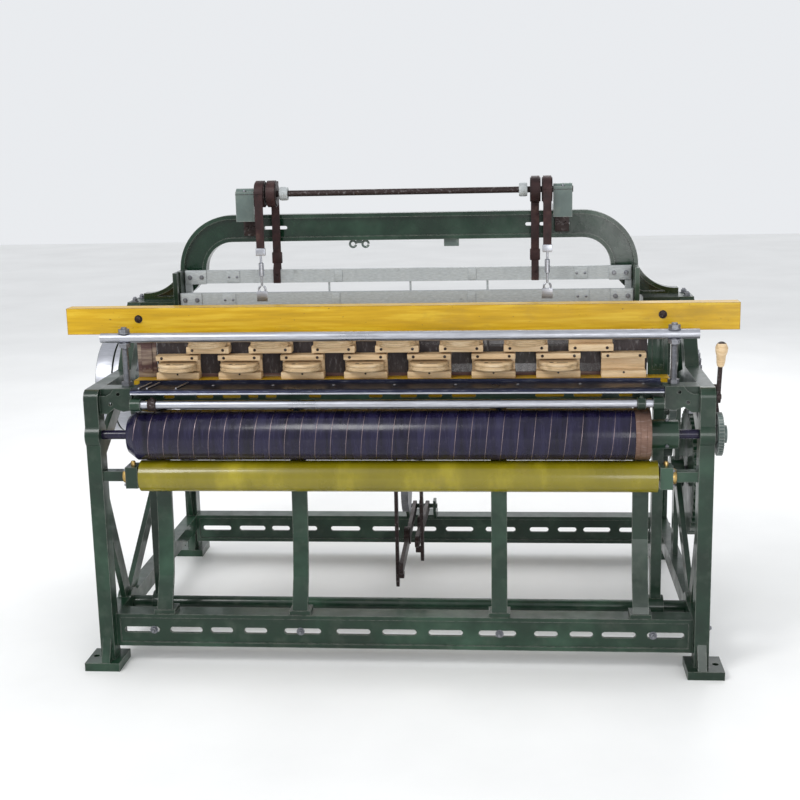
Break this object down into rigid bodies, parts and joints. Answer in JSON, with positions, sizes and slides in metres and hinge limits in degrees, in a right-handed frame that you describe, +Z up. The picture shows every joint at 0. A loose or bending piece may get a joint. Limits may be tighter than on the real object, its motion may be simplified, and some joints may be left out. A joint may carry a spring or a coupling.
{
  "type": "narrow-fabric power loom",
  "caption": "Power loom for narrow fabrics: green cast frames, arch with strap shaft, heald frames, yellow sley with two tiers of half-moon shuttles, navy and yellow rollers.",
  "frame": {"origin": "on the floor, at the centre of the four floor bolt holes", "axes": "+X to the weaver's right, +Y from the weaver to the warp side, +Z up"},
  "size_m": [1.92, 1.135, 1.344],
  "materials": {
    "frame_green": "glossy machine enamel over rough castings, worn at the edges",
    "grey_green": "greyed green enamel, dusty",
    "yellow_board": "thick yellow paint on a wooden beam, chipped and stained",
    "yellow_roller": "olive-yellow paint with rubbed patches",
    "navy_roller": "dark blue-black lacquer with bright spiral seams",
    "bright_steel": "drawn steel, oiled",
    "dark_steel": "blued, oily steel",
    "brown_iron": "dark brown oiled iron",
    "strap_leather": "oiled maroon-brown leather",
    "aluminium": "dull grey-white aluminium bar",
    "block_wood": "pale waxed wood",
    "shuttle_wood": "pale polished wood, darker at the rim",
    "bush_bronze": "oiled bronze"
  },
  "bodies": {
    "loom_frame": {"left_side_frame": "frame_green", "right_side_frame": "frame_green", "front_bottom_rail": "frame_green", "rear_bottom_rail": "frame_green", "front_top_rail": "frame_green", "rear_top_rail": "frame_green", "arch": "frame_green", "pedestals": "frame_green", "corner_brackets": "frame_green", "frame_bolts": "dark_steel", "top_bearings": "grey_green", "heald_guides": "frame_green", "shaft_bushes": "bush_bronze", "treadle_bracket": "frame_green", "cloth_roller_brackets": "frame_green", "breast_plate": "dark_steel", "wire_guides": "bright_steel", "guide_bar": "bright_steel", "guide_bar_brackets": "frame_green", "guard_tube": "bright_steel", "guard_posts": "bright_steel"},
    "top_roller": {"top_shaft": "brown_iron", "strap_drums": "brown_iron", "strap_wraps": "strap_leather"},
    "front_heald": {"front_heald_frame": "aluminium", "front_straps": "strap_leather", "front_frame_hook": "brown_iron"},
    "rear_heald": {"rear_heald_frame": "aluminium", "rear_straps": "strap_leather", "rear_frame_hook": "brown_iron"},
    "front_treadle_lever": {"front_treadle": "brown_iron"},
    "rear_treadle_lever": {"rear_treadle": "brown_iron"},
    "crank": {"crankshaft": "bright_steel", "crank_pinion": "frame_green", "fast_pulley": "frame_green"},
    "idle_pulley": {"loose_pulley": "frame_green"},
    "tappet_drive": {"tappet_shaft": "bright_steel", "tappet_gear": "frame_green", "tappets": "dark_steel"},
    "left_arm": {"left_connecting_arm": "grey_green"},
    "right_arm": {"right_connecting_arm": "grey_green"},
    "sley": {"rocking_shaft": "bright_steel", "sley_swords": "frame_green", "sley_cap": "yellow_board", "sley_board": "yellow_board", "sley_end_plates": "frame_green", "sley_bolts": "dark_steel", "reed": "dark_steel", "lower_shuttle_blocks": "block_wood", "upper_shuttle_blocks": "block_wood"},
    "lower_shuttle_row": {"lower_shuttles": "shuttle_wood"},
    "upper_shuttle_row": {"upper_shuttles": "shuttle_wood"},
    "take_up": {"take_up_roller": "navy_roller", "take_up_hub": "frame_green", "take_up_ratchet": "grey_green"},
    "pawl": {"take_up_pawl": "dark_steel"},
    "cloth_beam": {"cloth_roller": "yellow_roller"},
    "warp_roll": {"warp_beam": "frame_green"},
    "back_rest": {"back_rest_roller": "bright_steel"},
    "handle": {"starting_handle": "dark_steel"}
  },
  "joints": [
    {"name": "crank_turn", "type": "hinge", "parent": "loom_frame", "child": "crank", "pos_m": [0, 0.1, 0.7], "axis": [1, 0, 0], "continuous": true},
    {"name": "idle_pulley_turn", "type": "hinge", "parent": "crank", "child": "idle_pulley", "pos_m": [0, 0.1, 0.7], "axis": [1, 0, 0], "continuous": true},
    {"name": "tappet_turn", "type": "hinge", "parent": "loom_frame", "child": "tappet_drive", "pos_m": [0, 0.1, 0.412], "axis": [1, 0, 0], "continuous": true},
    {"name": "left_arm_swing", "type": "hinge", "parent": "crank", "child": "left_arm", "pos_m": [-0.762, 0.05, 0.7], "axis": [1, 0, 0], "continuous": true},
    {"name": "right_arm_swing", "type": "hinge", "parent": "crank", "child": "right_arm", "pos_m": [0.762, 0.05, 0.7], "axis": [1, 0, 0], "continuous": true},
    {"name": "sley_rock", "type": "hinge", "parent": "loom_frame", "child": "sley", "pos_m": [0, -0.318, 0.12], "axis": [1, 0, 0], "range_deg": [-9.9, 0]},
    {"name": "lower_shuttle_pass", "type": "slide", "parent": "sley", "child": "lower_shuttle_row", "axis": [1, 0, 0], "range_m": [0, 0.1776]},
    {"name": "upper_shuttle_pass", "type": "slide", "parent": "sley", "child": "upper_shuttle_row", "axis": [1, 0, 0], "range_m": [0, 0.1776]},
    {"name": "top_roller_turn", "type": "hinge", "parent": "loom_frame", "child": "top_roller", "pos_m": [0, -0.085, 1.305], "axis": [1, 0, 0], "range_deg": [-98.2, 0]},
    {"name": "front_heald_lift", "type": "slide", "parent": "loom_frame", "child": "front_heald", "axis": [0, 0, 1], "range_m": [0, 0.06]},
    {"name": "rear_heald_lift", "type": "slide", "parent": "loom_frame", "child": "rear_heald", "axis": [0, 0, 1], "range_m": [-0.06, 0]},
    {"name": "front_treadle_press", "type": "hinge", "parent": "loom_frame", "child": "front_treadle_lever", "pos_m": [0, 0.425, 0.2], "axis": [1, 0, 0], "range_deg": [-6.4, 0]},
    {"name": "rear_treadle_press", "type": "hinge", "parent": "loom_frame", "child": "rear_treadle_lever", "pos_m": [0, 0.425, 0.2], "axis": [1, 0, 0], "range_deg": [0, 7.3]},
    {"name": "take_up_turn", "type": "hinge", "parent": "loom_frame", "child": "take_up", "pos_m": [0, -0.505, 0.675], "axis": [1, 0, 0], "continuous": true},
    {"name": "cloth_beam_turn", "type": "hinge", "parent": "loom_frame", "child": "cloth_beam", "pos_m": [0, -0.515, 0.56144], "axis": [1, 0, 0], "continuous": true},
    {"name": "pawl_lift", "type": "hinge", "parent": "loom_frame", "child": "pawl", "pos_m": [0.86, -0.4, 0.775], "axis": [1, 0, 0], "range_deg": [-22, 0]},
    {"name": "warp_beam_turn", "type": "hinge", "parent": "loom_frame", "child": "warp_roll", "pos_m": [0, 0.4, 0.43], "axis": [1, 0, 0], "continuous": true},
    {"name": "back_rest_turn", "type": "hinge", "parent": "loom_frame", "child": "back_rest", "pos_m": [0, 0.505, 0.83], "axis": [1, 0, 0], "continuous": true},
    {"name": "starting_handle_swing", "type": "hinge", "parent": "loom_frame", "child": "handle", "pos_m": [0.86, -0.5, 0.775], "axis": [1, 0, 0], "range_deg": [-12, 12]}
  ],
  "couplings": [
    {"joint": "tappet_turn", "follows": "crank_turn", "ratio": -0.5},
    {"joint": "left_arm_swing", "follows": "crank_turn", "ratio": -1},
    {"joint": "right_arm_swing", "follows": "crank_turn", "ratio": -1},
    {"joint": "upper_shuttle_pass", "follows": "lower_shuttle_pass", "ratio": 1},
    {"joint": "front_heald_lift", "follows": "top_roller_turn", "m_per_rad": -0.035},
    {"joint": "rear_heald_lift", "follows": "top_roller_turn", "m_per_rad": 0.035},
    {"joint": "front_treadle_press", "follows": "top_roller_turn", "ratio": 0.06422},
    {"joint": "rear_treadle_press", "follows": "top_roller_turn", "ratio": -0.07368},
    {"joint": "cloth_beam_turn", "follows": "take_up_turn", "ratio": -1.6279}
  ]
}
